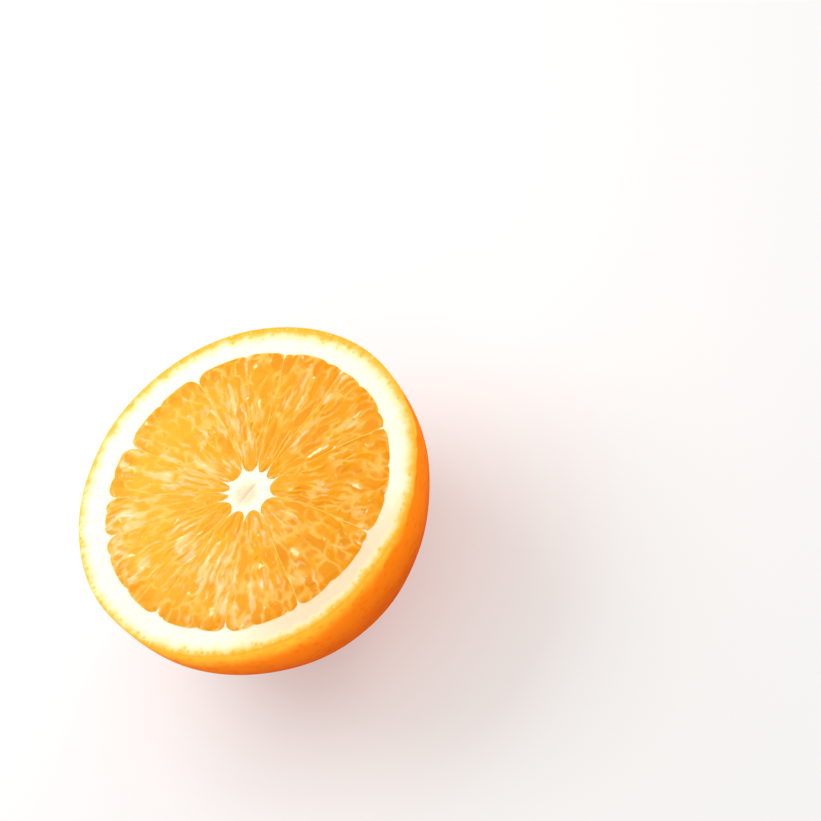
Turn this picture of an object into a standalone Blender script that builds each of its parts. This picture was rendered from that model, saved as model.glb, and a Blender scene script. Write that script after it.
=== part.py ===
"""An orange half, cut across its segments, lying on its rind with the cut face up.

Metres, +Z up. The origin is the middle of the small flat spot that the half rests on.
The fruit is one piece, so it is one closed solid. Its skin and its cut face are one UV sphere
whose rings and columns are laid along the fruit's own lines: the columns follow the membranes
between the segments, and the rings follow the flesh, the pith and the coloured skin.
"""

import math

import bmesh
import bpy
from mathutils import Vector, noise

# The whole half
FRUIT_RADIUS = 0.039
HALF_HEIGHT = 0.0385
FLAT_SPOT_RADIUS = 0.006

# The skin has broad lumps, and dimples over its oil glands. Both fade out at the flat spot
LUMP_HEIGHT = 0.00045
LUMP_SIZE = 0.018
DIMPLE_DEPTH = 0.0003
DIMPLE_PITCH = 0.0046
DIMPLE_RADIUS = 0.0032
RELIEF_FADE = 0.15

# The cut face, from the rim inwards
SKIN_THICKNESS = 0.0013
CUT_EDGE_ROUNDING = 0.00035
FLESH_RADIUS = 0.0327
FLESH_UNEVENNESS = 0.0005
FLESH_WAVE_LENGTH = 0.019
NOTCH_DEPTH = 0.0013
NOTCH_HALF_WIDTH = 0.0013

# The flesh stands a little above the cut, and its juice sacs bulge from it
FLESH_RISE = 0.0003
SAC_RISE = 0.0005
SAC_WIDTH = 0.0042
SAC_LENGTH = 0.0085
SAC_FILL = 0.9
FALL_TO_MEMBRANE = 0.12
FALL_TO_ENDS = 0.05

# The white core, a star with a point on each membrane, sunk a little and creased
CORE_CENTRE = Vector((0.0003, -0.0012, 0.0))
CORE_VALLEY_RADIUS = 0.0048
CORE_POINT_RADIUS = 0.0062
CORE_POINT_SHARPNESS = 3
CORE_SINK = 0.0004
CREASE_HALF_LENGTH = 0.0027
CREASE_HALF_WIDTH = 0.0011
CREASE_DEPTH = 0.0005

# Where the membranes between the segments meet the rind and the core, anticlockwise from +X
RIND_DEGREES = (10, 37, 75, 112, 135, 152, 195, 226, 256, 293, 337)
CORE_DEGREES = (8, 35, 68, 112, 134, 153, 191, 225, 258, 300, 339)

# How finely each part of the surface is divided
COLUMNS_PER_SEGMENT = 10
SKIN_RINGS = 25
PITH_RINGS = 3
FLESH_RINGS = 17
CORE_RINGS = 6
CROWDING = 0.7

SEGMENTS = len(RIND_DEGREES)
COLUMNS = COLUMNS_PER_SEGMENT * SEGMENTS

# Ring numbers, counted from the middle of the flat spot up over the skin to the middle of the face
FLAT_SPOT_RING = 1
RIM_RING = FLAT_SPOT_RING + SKIN_RINGS
EDGE_RING = RIM_RING + 1
PITH_RING = EDGE_RING + 1
FLESH_RING = PITH_RING + PITH_RINGS
CORE_RING = FLESH_RING + FLESH_RINGS
RINGS = CORE_RING + CORE_RINGS

COLLECTION_NAME = "orange_half"
PEEL, PITH, FLESH = range(3)


def smooth_step(value):
    """0 below 0, 1 above 1, and a smooth rise between them."""
    value = min(max(value, 0.0), 1.0)
    return value * value * (3 - 2 * value)


def crowded_at_ends(share):
    """Moves evenly spaced shares of 0 to 1 towards both ends, so that edges get the finest steps."""
    crowded = 0.5 - 0.5 * math.cos(math.pi * share)
    return share + CROWDING * (crowded - share)


def segment_at(column):
    """The segment that a column lies in, and how far across the segment it is, from 0 to 1."""
    segment, step = divmod(column % COLUMNS, COLUMNS_PER_SEGMENT)
    return segment, crowded_at_ends(step / COLUMNS_PER_SEGMENT)


def segment_width(segment):
    """A segment's width along the rind."""
    degrees = (RIND_DEGREES[(segment + 1) % SEGMENTS] - RIND_DEGREES[segment]) % 360
    return math.radians(degrees) * FLESH_RADIUS


def column_direction(column, membrane_degrees=RIND_DEGREES):
    """The unit vector in the cut face along a column, for the membranes' angles that are given."""
    segment, across = segment_at(column)
    start = membrane_degrees[segment]
    width = (membrane_degrees[(segment + 1) % SEGMENTS] - start) % 360
    angle = math.radians(start + across * width)
    return Vector((math.cos(angle), math.sin(angle), 0.0))


def skin_relief(direction):
    """How far the skin stands out there: broad lumps, less the dimples over its oil glands."""
    place = direction * FRUIT_RADIUS
    lumps = LUMP_HEIGHT * noise.noise(place / LUMP_SIZE)
    nearest = DIMPLE_PITCH * noise.voronoi(place / DIMPLE_PITCH)[0][0]
    return lumps - DIMPLE_DEPTH * (1 - smooth_step(nearest / DIMPLE_RADIUS))


def skin_point(column, share):
    """A point of the skin. The share runs from 0 at the flat spot's edge to 1 at the cut."""
    lowest = math.acos(FLAT_SPOT_RADIUS / FRUIT_RADIUS)
    down = lowest * (1 - share)
    depth = HALF_HEIGHT / math.sin(lowest)
    outward = column_direction(column) * math.cos(down)
    direction = outward + Vector((0.0, 0.0, -math.sin(down)))
    point = outward * FRUIT_RADIUS
    point.z = HALF_HEIGHT - depth * math.sin(down)
    return point + direction * skin_relief(direction) * smooth_step(share / RELIEF_FADE)


def rim_radius(column):
    """The skin's distance from the axis at the cut."""
    return skin_point(column, 1.0).xy.length


def flesh_radius(column):
    """Where the flesh meets the pith: a wavy circle, drawn in at each membrane."""
    segment, across = segment_at(column)
    from_membrane = min(across, 1 - across) * segment_width(segment)
    place = column_direction(column) * FLESH_RADIUS
    wave = FLESH_UNEVENNESS * noise.noise(place / FLESH_WAVE_LENGTH)
    notch = NOTCH_DEPTH * math.exp(-((from_membrane / NOTCH_HALF_WIDTH) ** 2))
    return FLESH_RADIUS + wave - notch


def core_point(column, share):
    """A point of the core, at a share of the way from its centre out to its star-shaped edge."""
    _, across = segment_at(column)
    towards_point = abs(2 * across - 1) ** CORE_POINT_SHARPNESS
    reach = CORE_VALLEY_RADIUS + (CORE_POINT_RADIUS - CORE_VALLEY_RADIUS) * towards_point
    point = column_direction(column, CORE_DEGREES) * reach * share
    along = max(0.0, 1 - (point.x / CREASE_HALF_LENGTH) ** 2)
    crease = CREASE_DEPTH * along * math.exp(-((point.y / CREASE_HALF_WIDTH) ** 2))
    sink = 0.0 if share == 1 else CORE_SINK
    point += CORE_CENTRE
    point.z = HALF_HEIGHT - sink - crease
    return point


def sac_relief(segment, across, outward):
    """The bulge of the juice sacs, long cells that run from the rind towards the core, from 0 to 1."""
    along = outward * FLESH_RADIUS
    own_layer = 10.0 * segment
    cell = Vector((across * segment_width(segment) / SAC_WIDTH, along / SAC_LENGTH, own_layer))
    nearest = noise.voronoi(cell)[0][0]
    return 1 - smooth_step(nearest / SAC_FILL)


def flesh_point(column, outward):
    """A point of the flesh. Outward runs from 0 at the core to 1 at the pith."""
    segment, across = segment_at(column)
    inner = core_point(column, 1.0)
    outer = column_direction(column) * flesh_radius(column)
    point = inner.lerp(outer, outward)
    clear_of_membrane = smooth_step(min(across, 1 - across) / FALL_TO_MEMBRANE)
    clear_of_ends = smooth_step(min(outward, 1 - outward) / FALL_TO_ENDS)
    rise = FLESH_RISE + SAC_RISE * sac_relief(segment, across, outward)
    point.z = HALF_HEIGHT + rise * clear_of_membrane * clear_of_ends
    return point


def rind_cut_point(column, ring):
    """A point of the cut through the rind, from its edge in to the flesh."""
    if ring == EDGE_RING:
        radius = rim_radius(column) - CUT_EDGE_ROUNDING
    else:
        pith_edge = rim_radius(column) - SKIN_THICKNESS
        share = (ring - PITH_RING) / PITH_RINGS
        radius = pith_edge + (flesh_radius(column) - pith_edge) * share
    return column_direction(column) * radius + Vector((0.0, 0.0, HALF_HEIGHT))


def surface_point(ring, column):
    """The place of the point where a ring and a column cross."""
    if ring == 0:
        return Vector((0.0, 0.0, 0.0))
    if ring <= RIM_RING:
        point = skin_point(column, (ring - FLAT_SPOT_RING) / SKIN_RINGS)
        if ring == RIM_RING:
            point.z -= CUT_EDGE_ROUNDING
        return point
    if ring < FLESH_RING:
        return rind_cut_point(column, ring)
    if ring < CORE_RING:
        return flesh_point(column, 1 - crowded_at_ends((ring - FLESH_RING) / FLESH_RINGS))
    return core_point(column, (RINGS - ring) / CORE_RINGS)


def surface_material(ring):
    """Which material the faces have whose outermost ring this is."""
    if ring < PITH_RING:
        return PEEL
    return FLESH if FLESH_RING <= ring < CORE_RING else PITH


def ring_of(point):
    """A point's ring on the unit sphere, counted up from the lowest."""
    height = min(max(point.z, -1.0), 1.0)
    return round((math.pi - math.acos(height)) * RINGS / math.pi)


def column_of(point):
    """A point's column on the unit sphere, counted anticlockwise from +X."""
    return round(math.atan2(point.y, point.x) * COLUMNS / (2 * math.pi)) % COLUMNS


def orange_mesh():
    """The half's closed surface, laid out from a unit sphere's rings and columns."""
    bm = bmesh.new()
    bmesh.ops.create_uvsphere(bm, u_segments=COLUMNS, v_segments=RINGS, radius=1.0)
    places = {vertex: (ring_of(vertex.co), column_of(vertex.co)) for vertex in bm.verts}
    for face in bm.faces:
        face.material_index = surface_material(min(places[vertex][0] for vertex in face.verts))
        face.smooth = True
    for vertex, (ring, column) in places.items():
        vertex.co = surface_point(ring, column)
    bmesh.ops.recalc_face_normals(bm, faces=bm.faces)
    mesh = bpy.data.meshes.new("orange_half")
    bm.to_mesh(mesh)
    bm.free()
    return mesh


def food_material(name, colour, roughness):
    """A matt or moist surface of one colour."""
    material = bpy.data.materials.new(name)
    material.use_nodes = True
    shader = material.node_tree.nodes["Principled BSDF"]
    shader.inputs["Base Color"].default_value = (*colour, 1.0)
    shader.inputs["Roughness"].default_value = roughness
    shader.inputs["Metallic"].default_value = 0.0
    return material


def clear_scene():
    for obj in list(bpy.data.objects):
        bpy.data.objects.remove(obj)


def main():
    clear_scene()
    collection = bpy.data.collections.new(COLLECTION_NAME)
    bpy.context.scene.collection.children.link(collection)
    mesh = orange_mesh()
    mesh.materials.append(food_material("peel", (0.93, 0.24, 0.02), 0.4))
    mesh.materials.append(food_material("pith", (0.95, 0.88, 0.7), 0.7))
    mesh.materials.append(food_material("flesh", (0.93, 0.42, 0.03), 0.3))
    collection.objects.link(bpy.data.objects.new("orange_half", mesh))


main()
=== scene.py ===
"""The looks of an orange half: its peel, pith, core, membranes and juicy segments.

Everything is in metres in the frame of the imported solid: +Z is out of the cut face, and the origin
is the middle of the flat spot that the half rests on.
"""

import math

import bmesh
import bpy
import numpy as np
from mathutils import Matrix, Vector, noise


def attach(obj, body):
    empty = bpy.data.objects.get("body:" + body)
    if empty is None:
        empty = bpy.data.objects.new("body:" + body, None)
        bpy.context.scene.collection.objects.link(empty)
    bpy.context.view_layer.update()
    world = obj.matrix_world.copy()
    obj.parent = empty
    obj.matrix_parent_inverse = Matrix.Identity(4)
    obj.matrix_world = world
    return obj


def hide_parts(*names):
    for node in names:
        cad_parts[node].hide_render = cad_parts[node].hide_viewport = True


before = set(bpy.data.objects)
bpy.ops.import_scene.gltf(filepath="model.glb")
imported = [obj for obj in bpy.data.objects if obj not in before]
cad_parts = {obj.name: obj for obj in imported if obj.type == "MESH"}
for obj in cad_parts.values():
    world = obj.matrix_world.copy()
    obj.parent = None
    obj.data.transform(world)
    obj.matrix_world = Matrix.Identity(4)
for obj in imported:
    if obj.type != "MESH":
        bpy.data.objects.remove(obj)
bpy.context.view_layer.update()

BODY = "root"
NODE = "orange_half"

# The fruit's form, as in the solid that it replaces
FRUIT_RADIUS = 0.039
CUT_HEIGHT = 0.0385
FLAT_SPOT_RADIUS = 0.006
LUMP_HEIGHT = 0.00045
LUMP_SIZE = 0.018
RELIEF_FADE = 0.15
CORE_CENTRE = (0.0003, -0.0012)
CORE_VALLEY_RADIUS = 0.0048
CORE_POINT_RADIUS = 0.0060
CORE_POINT_SHARPNESS = 3
FLESH_RADIUS = 0.0328
FLESH_LENGTH = FLESH_RADIUS - CORE_VALLEY_RADIUS
FLESH_OFFSET = 0.0004
FLESH_OFFSET_DEGREES = 265
RIND_DEGREES = (10, 37, 75, 112, 135, 152, 195, 226, 256, 293, 337)
CORE_DEGREES = (8, 35, 68, 112, 134, 153, 191, 225, 258, 300, 339)
SEGMENTS = len(RIND_DEGREES)
CORE_MIDDLE = np.array([*CORE_CENTRE, 0.0])

# How deep the rind is drawn in between two segments, at each membrane in turn
NOTCH_DEPTHS = (0.0003, 0.0004, 0.0011, 0.0019, 0.0013, 0.0014, 0.0010, 0.0011, 0.0008, 0.0008, 0.0005)
NOTCH_WIDTH = 0.0024
NOTCH_SHARPNESS = 2.4
FLESH_WAVE = 0.0004
FLESH_WAVE_LENGTH = 0.011
SCALLOP_DEPTH = 0.0005
SCALLOP_DEGREES = 18.0

# One flank of the fruit has painted shade in a creamier pith, one has painted glare in paler flesh,
# one has a wider painted golden glow on its skin, and on two the skin's colour goes deeper into the pith
SHADED_FLANK = (0.0, -1.0, 0.0)
GLARE_FLANK = (-0.78, 0.62, 0.0)
GLOW_FLANK = (-0.87, -0.5, 0.0)
THICK_FLANK = (0.5, -0.87, 0.0)
DEEP_FLANK = (0.42, 0.91, 0.0)

# The peel: its coloured skin, pores, cut edge and the dimple with the scar
PEEL_COLUMNS = 560
PEEL_RINGS = 132
SKIN_THICKNESS = 0.0013
CUT_EDGE_ROUNDING = 0.0005
EDGE_BLEND = 0.003
CUT_RELIEF = 0.00004
LIP_DROP = 0.0004
PORE_PITCH = 0.0021
PORE_RADIUS = 0.0009
PORE_DEPTH = 0.00022
SCAR_RADIUS = 0.0024
SCAR_DEPTH = 0.0011
SCAR_RELIEF = 0.00008
SCAR_PROFILE = ((0.15, 0.35), (0.45, 0.3), (0.7, 0.42), (0.88, 0.5), (1.0, 0.7), (1.05, 1.1), (0.6, 1.6))
DIMPLE_RADIUS = 1.5 * SCAR_RADIUS
# The golden band under the cut is a painted glow of light through the rind, narrow on most of the fruit
# and wide on one flank
GLOW_BAND_NARROW = 0.0025
GLOW_BAND_WIDE = 0.008
# The width below the cut over which the skin's painted shade lightens
LIT_SKIN_WIDTH = 0.018
RIND_STREAK = 0.0028

# The oil glands in the cut rind, and the beads on those that are open
CUT_GLAND_PITCH = 0.0015
CUT_GLAND_RADIUS = 0.0007
GLANDS = 84
GLAND_RADIUS = 0.00034
GLAND_INSET = (0.0004, 0.0010)
GLAND_SINK = 0.00004

# The pith laps over the skin's inner edge by a hair, so that no gap shows between them
SEAM_STEP = 0.00001
SEAM_OVERLAP = 0.00004

# The depth under the skin, by which the rind is coloured, is kept in millimetres
MILLIMETRES = 1000
DEPTH_OF_WHITE = 6.0

# The pith and the core
PITH_RELIEF = 0.00005
EDGE_DROP = 0.00003
FOOT_CLEARANCE = 0.0001
FLESH_OVERLAP = 0.0001
CORE_SINK = 0.00012
CREASE_HALF_LENGTH = 0.0036
CREASE_HALF_WIDTH = 0.0004
CREASE_DEPTH = 0.0003
CREASE_BEND = 0.0004
CREASE_WAVE = 0.0016
CORE_TINT_PLACE = (-0.0006, -0.0010, CUT_HEIGHT)
CORE_FOOT_RADIUS = 0.0030
BED_RADIUS = 0.0340
BED_LOWEST_DEGREES = 78
BED_CLEARANCE = 0.0003

# The membranes and the segments between them
MEMBRANE_HALF_WIDTH = 0.00008
MEMBRANE_FLARE_AT_CORE = 0.00016
MEMBRANE_FLARE_AT_RIND = 0.00025
MEMBRANE_WANDER_DEGREES = 1.6
MEMBRANE_TUCK = 0.0004
MEMBRANE_RELIEF = 0.00003
FLESH_RISE = 0.00016
FLESH_SHOULDER = 0.0014
FLESH_CLEARANCE = 0.00001
GRID_STEP = 0.00014

# The juice sacs: long cells that run from the rind towards the core
SACS_PER_RADIAN = 12.0
SAC_LENGTH_AT_RIND = 0.0038
SAC_LENGTH_INSIDE = 0.0065
SAC_LENGTH_FADE = 0.007
SAC_RELIEF = 0.00024
SAC_FADE = 0.0006
SAC_WARP = 1.3
SAC_WARP_SIZE = 0.005

# The photo's frame and how the camera stands to it
PHOTO_SIZE = 821
FACE_PIXEL = (245.0, 489.0)
FACE_RADIUS_PIXELS = 185.5
CAMERA_ELEVATION = 52.3
CAMERA_ROLL = 42.5
LENS = 220.0
SENSOR = 36.0


# Shared arithmetic


def smooth_step(value):
    """0 below 0, 1 above 1, and a smooth rise between them."""
    value = np.clip(value, 0.0, 1.0)
    return value * value * (3 - 2 * value)


def crowded_at_ends(share, crowding=0.8):
    """Moves evenly spaced shares of 0 to 1 towards both ends."""
    return share + crowding * (0.5 - 0.5 * np.cos(math.pi * share) - share)


def noise_at(points, size, seed=0.0):
    """Smooth noise of about -1 to 1 at each point, with features of the given size."""
    places = np.asarray(points) / size + seed
    shape = places.shape[:-1]
    values = [noise.noise(place) for place in places.reshape(-1, 3)]
    return np.array(values).reshape(shape)


def spread(angle):
    """Unit vectors in the cut face at angles in radians from +X."""
    return np.stack([np.cos(angle), np.sin(angle), np.zeros_like(angle)], axis=-1)


def at_height(points, height):
    """The points with their heights replaced."""
    points = np.array(points)
    points[..., 2] = height
    return points


# Meshes


def smooth_but_for_edges(mesh):
    """Smooth shading, with a crisp line wherever two faces meet at a steep angle."""
    mesh.shade_smooth()
    mesh.set_sharp_from_angle(angle=math.radians(50))


def put_in_scene(name, data):
    obj = bpy.data.objects.new(name, data)
    bpy.context.scene.collection.objects.link(obj)
    return obj


def solid_from(name, points, faces, attributes=()):
    """An object of one closed mesh with its faces pointing out."""
    mesh = bpy.data.meshes.new(name)
    mesh.from_pydata(np.asarray(points).tolist(), [], faces)
    for key, values in dict(attributes).items():
        values = np.asarray(values, dtype=np.float32)
        kind = "FLOAT" if values.ndim == 1 else "FLOAT_VECTOR"
        layer = mesh.attributes.new(key, kind, "POINT")
        layer.data.foreach_set("value" if values.ndim == 1 else "vector", values.ravel())
    bm = bmesh.new()
    bm.from_mesh(mesh)
    bmesh.ops.recalc_face_normals(bm, faces=bm.faces)
    bm.to_mesh(mesh)
    bm.free()
    smooth_but_for_edges(mesh)
    return put_in_scene(name, mesh)


def ring_faces(rings, columns, start=0):
    """Quads between neighbouring closed rings of points that are numbered ring by ring."""
    ring, column = np.meshgrid(np.arange(rings - 1), np.arange(columns), indexing="ij")
    here = start + ring * columns + column
    beside = start + ring * columns + (column + 1) % columns
    quads = np.stack([here, beside, beside + columns, here + columns], axis=-1)
    return quads.reshape(-1, 4).tolist()


def grid_faces(rows, columns, start=0):
    """Quads of a grid of points that are numbered row by row."""
    row, column = np.meshgrid(np.arange(rows - 1), np.arange(columns - 1), indexing="ij")
    here = start + row * columns + column
    quads = np.stack([here, here + 1, here + columns + 1, here + columns], axis=-1)
    return quads.reshape(-1, 4).tolist()


def grid_border(rows, columns):
    """The numbers of a grid's outermost points, once round."""
    numbers = np.arange(rows * columns).reshape(rows, columns)
    return np.concatenate([numbers[0], numbers[1:, -1], numbers[-1, -2::-1], numbers[-2:0:-1, 0]])


def turned_solid(name, rings, attributes=()):
    """A closed mesh from a stack of closed rings, with a pole at the middle of each end ring."""
    count, columns = rings.shape[:2]
    poles = [rings[0].mean(axis=0), rings[-1].mean(axis=0)]
    points = np.concatenate([rings.reshape(-1, 3), poles])
    faces = ring_faces(count, columns)
    for pole, ring in ((count * columns, 0), (count * columns + 1, count - 1)):
        first = ring * columns
        faces += [[pole, first + c, first + (c + 1) % columns] for c in range(columns)]
    stored = {}
    for key, values in dict(attributes).items():
        ends = [values[0].mean(axis=0), values[-1].mean(axis=0)]
        stored[key] = np.concatenate([values.reshape(len(points) - 2, *values.shape[2:]), ends])
    return solid_from(name, points, faces, stored)


# Node trees


def socket_of(sockets, key):
    """The socket with this identifier, or else with this name."""
    for socket in sockets:
        if socket.identifier == key:
            return socket
    return sockets[key]


def add(tree, kind, inputs=(), **settings):
    """A node with its settings, its inputs set to values or linked to other nodes' outputs."""
    node = tree.nodes.new(kind)
    for key, value in settings.items():
        setattr(node, key, value)
    for key, value in dict(inputs).items():
        if isinstance(value, bpy.types.NodeSocket):
            tree.links.new(value, socket_of(node.inputs, key))
        else:
            socket_of(node.inputs, key).default_value = value
    return node


def calculate(tree, operation, first, second):
    inputs = {"Value": first, "Value_001": second}
    return add(tree, "ShaderNodeMath", inputs, operation=operation).outputs[0]


def product(tree, first, second):
    return calculate(tree, "MULTIPLY", first, second)


def total(tree, *values):
    """The sum of all the values."""
    result = values[0]
    for value in values[1:]:
        result = calculate(tree, "ADD", result, value)
    return result


def vector_math(tree, operation, first, second=(0.0, 0.0, 0.0), output="Vector"):
    inputs = {"Vector": first, "Vector_001": second}
    return add(tree, "ShaderNodeVectorMath", inputs, operation=operation).outputs[output]


def scaled(tree, vector, factor):
    inputs = {"Vector": vector, "Scale": factor}
    return add(tree, "ShaderNodeVectorMath", inputs, operation="SCALE").outputs[0]


def towards(tree, place, flank):
    """How far a place lies towards a flank of the fruit."""
    return vector_math(tree, "DOT_PRODUCT", place, flank, "Value")


def ramp(tree, value, low, high, start=0.0, end=1.0):
    """A smooth change from start to end as the value goes from low to high."""
    inputs = {"Value": value, "From Min": low, "From Max": high, "To Min": start, "To Max": end}
    node = add(tree, "ShaderNodeMapRange", inputs, interpolation_type="SMOOTHSTEP")
    return node.outputs["Result"]


def blend_colours(tree, share, first, second, blend_type="MIX"):
    inputs = {"Factor_Float": share, "A_Color": first, "B_Color": second}
    node = add(tree, "ShaderNodeMix", inputs, data_type="RGBA", blend_type=blend_type)
    return socket_of(node.outputs, "Result_Color")


def painted(tree, colour, *layers):
    """A colour with layers over it in turn, each given as its share and its colour."""
    for share, layer in layers:
        colour = blend_colours(tree, share, colour, layer)
    return colour


def noise_node(tree, vector, scale, detail=2.0):
    inputs = {"Vector": vector, "Scale": scale, "Detail": detail}
    return add(tree, "ShaderNodeTexNoise", inputs).outputs["Fac"]


def stretched_noise(tree, vector, stretch, detail):
    """Noise at a place whose three directions are stretched first."""
    return noise_node(tree, vector_math(tree, "MULTIPLY", vector, stretch), 1.0, detail)


def voronoi_node(tree, vector, scale=1.0, feature="F1"):
    inputs = {"Vector": vector, "Scale": scale}
    return add(tree, "ShaderNodeTexVoronoi", inputs, feature=feature)


def srgb(red, green, blue):
    """A colour given as it looks on screen, 0 to 255, as the linear colour of a shader."""
    channels = []
    for value in (red, green, blue):
        share = value / 255
        channels.append(share / 12.92 if share <= 0.04045 else ((share + 0.055) / 1.055) ** 2.4)
    return (*channels, 1.0)


# Colours: the cut rind from the skin inwards, then the skin


RIND_ORANGE = srgb(251, 176, 50)
RIND_YELLOW = srgb(249, 194, 78)
RIND_PALE = srgb(252, 226, 164)
PITH_WHITE = srgb(254, 249, 222)
# painted shade: the darker cream that the pith takes on one flank
PITH_SHADED_CREAM = srgb(254, 214, 180)
PITH_SHADE = srgb(255, 247, 230)
# Painted shade and light: the skin's two base colours are shaded down for low on the fruit, and the next
# one brightens it towards the cut
SKIN_SHADED = srgb(204, 80, 2)
SKIN_BRIGHT = srgb(214, 92, 4)
SKIN_LIT_NEAR_CUT = srgb(249, 129, 12)
# painted glow of light through the rind, in a band under the cut
SKIN_GLOW_GOLDEN = srgb(255, 192, 54)
PORE_SHADE = srgb(246, 226, 200)

# Colours of the core and its crease, the membranes, and where juice has stained the pith
JUICE_STAIN = srgb(255, 214, 130)
CORE_CREAM_TINT = srgb(240, 214, 180)
CREASE_TINT = srgb(226, 184, 150)
MEMBRANE_DEEP = srgb(250, 178, 40)
MEMBRANE_PALE = srgb(254, 208, 100)
MEMBRANE_END = srgb(255, 248, 226)

# Colours of the juice sacs
SAC_DARK = srgb(221, 135, 0)
SAC_BRIGHT = srgb(229, 151, 2)
SAC_LIGHT = srgb(236, 164, 8)
# painted glare: the paler flesh on the flank towards the light
SAC_ON_GLARE_FLANK = srgb(240, 180, 48)
SAC_BY_RIND = srgb(227, 139, 0)
SAC_EDGE = srgb(240, 174, 36)
SAC_OPENED = srgb(250, 204, 142)
# painted highlight: the palest torn sacs, whitened as if they catch the light
SAC_TORN_HIGHLIGHT = srgb(254, 226, 182)
SAC_WALL = srgb(250, 198, 104)
# painted glint: pale spots that stand in for highlights on the juice
PAINTED_GLINT = srgb(255, 238, 180)

# Colours of the small parts and the floor
GLAND_DEEP = srgb(240, 178, 66)
GLAND_PALE = srgb(250, 206, 110)
SCAR_BROWN = srgb(122, 84, 42)
SCAR_TAN = srgb(186, 146, 88)
FLOOR_GREY = (0.6, 0.6, 0.6, 1.0)


# Shader groups


def new_group(name, kind, inputs, outputs):
    """A node group with sockets from (name, type, default), and what goes into and out of it."""
    group = bpy.data.node_groups.new(name, kind)
    for label, sort, default in inputs:
        socket = group.interface.new_socket(label, in_out="INPUT", socket_type="NodeSocket" + sort)
        if default is not None:
            socket.default_value = default
    for label, sort in outputs:
        group.interface.new_socket(label, in_out="OUTPUT", socket_type="NodeSocket" + sort)
    given, result = group.nodes.new("NodeGroupInput"), group.nodes.new("NodeGroupOutput")
    return group, given.outputs, result.inputs


def mottle_group():
    """Broad and fine unevenness of a plant's tissue, as a share of 0 to 1 and as a height."""
    inputs = (("Position", "Vector", None), ("Patch Size", "Float", 0.004),
              ("Grain Size", "Float", 0.0005))
    outputs = (("Share", "Float"), ("Height", "Float"))
    group, given, result = new_group("Fruit mottle", "ShaderNodeTree", inputs, outputs)
    per_patch = calculate(group, "DIVIDE", 1.0, given["Patch Size"])
    per_grain = calculate(group, "DIVIDE", 1.0, given["Grain Size"])
    patches = noise_node(group, given["Position"], per_patch, 3.0)
    group.links.new(ramp(group, patches, 0.32, 0.68), result["Share"])
    group.links.new(noise_node(group, given["Position"], per_grain), result["Height"])
    return group


def gland_group():
    """The oil glands just under the skin, round and about as far apart as the pores."""
    inputs = (("Position", "Vector", None), ("Pitch", "Float", PORE_PITCH),
              ("Radius", "Float", PORE_RADIUS))
    group, given, result = new_group("Oil glands", "ShaderNodeTree", inputs, (("Depth", "Float"),))
    per_pitch = calculate(group, "DIVIDE", 1.0, given["Pitch"])
    cells = voronoi_node(group, given["Position"], per_pitch)
    share = calculate(group, "DIVIDE", given["Radius"], given["Pitch"])
    relative = calculate(group, "DIVIDE", cells.outputs["Distance"], share)
    group.links.new(ramp(group, relative, 0.0, 1.1, 1.0, 0.0), result["Depth"])
    return group


def use_group(tree, group, inputs):
    return add(tree, "ShaderNodeGroup", inputs, node_tree=group).outputs


# Materials


def new_material(name, **constants):
    """A material with one Principled shader. The constants are set on the shader's own sockets."""
    material = bpy.data.materials.new(name)
    material.use_nodes = True
    tree = material.node_tree
    shader = tree.nodes["Principled BSDF"]
    for key, value in constants.items():
        shader.inputs[key.replace("_", " ")].default_value = value
    return material, tree, shader


def object_position(tree):
    return add(tree, "ShaderNodeTexCoord").outputs["Object"]


def mottle_of(tree, mottles, patch_size, grain_size):
    """The tissue's unevenness at the place that is shaded: its share and its fine height."""
    inputs = {"Position": object_position(tree), "Patch Size": patch_size, "Grain Size": grain_size}
    outputs = use_group(tree, mottles, inputs)
    return outputs["Share"], outputs["Height"]


def attribute_of(tree, name, output="Fac"):
    return add(tree, "ShaderNodeAttribute", attribute_name=name).outputs[output]


def bump(tree, shader, height, distance, strength):
    inputs = {"Height": height, "Distance": distance, "Strength": strength}
    node = add(tree, "ShaderNodeBump", inputs)
    tree.links.new(node.outputs["Normal"], shader.inputs["Normal"])


def dress(tree, shader, colour, grain, least_rough, most_rough):
    """Gives the shader its colour, and a roughness between two values by the tissue's grain."""
    tree.links.new(colour, shader.inputs["Base Color"])
    roughness = ramp(tree, grain, 0.3, 0.7, least_rough, most_rough)
    tree.links.new(roughness, shader.inputs["Roughness"])


def uneven_depth(tree, position, on_rim, glands):
    """Millimetres under the skin, made uneven by streaks and glands, and less on two flanks."""
    streaks = noise_node(tree, on_rim, FRUIT_RADIUS / RIND_STREAK, 1.0)
    inputs = {"Position": position, "Pitch": CUT_GLAND_PITCH, "Radius": CUT_GLAND_RADIUS}
    in_gland = use_group(tree, glands, inputs)["Depth"]
    ragged = ramp(tree, streaks, 0.2, 0.8, -0.45, 0.6)
    thick = product(tree, towards(tree, on_rim, THICK_FLANK), -0.4)
    deep = ramp(tree, towards(tree, on_rim, DEEP_FLANK), 0.0, 1.0, 0.0, -1.0)
    return total(tree, attribute_of(tree, "depth"), ragged, product(tree, in_gland, -0.8), thick, deep)


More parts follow.
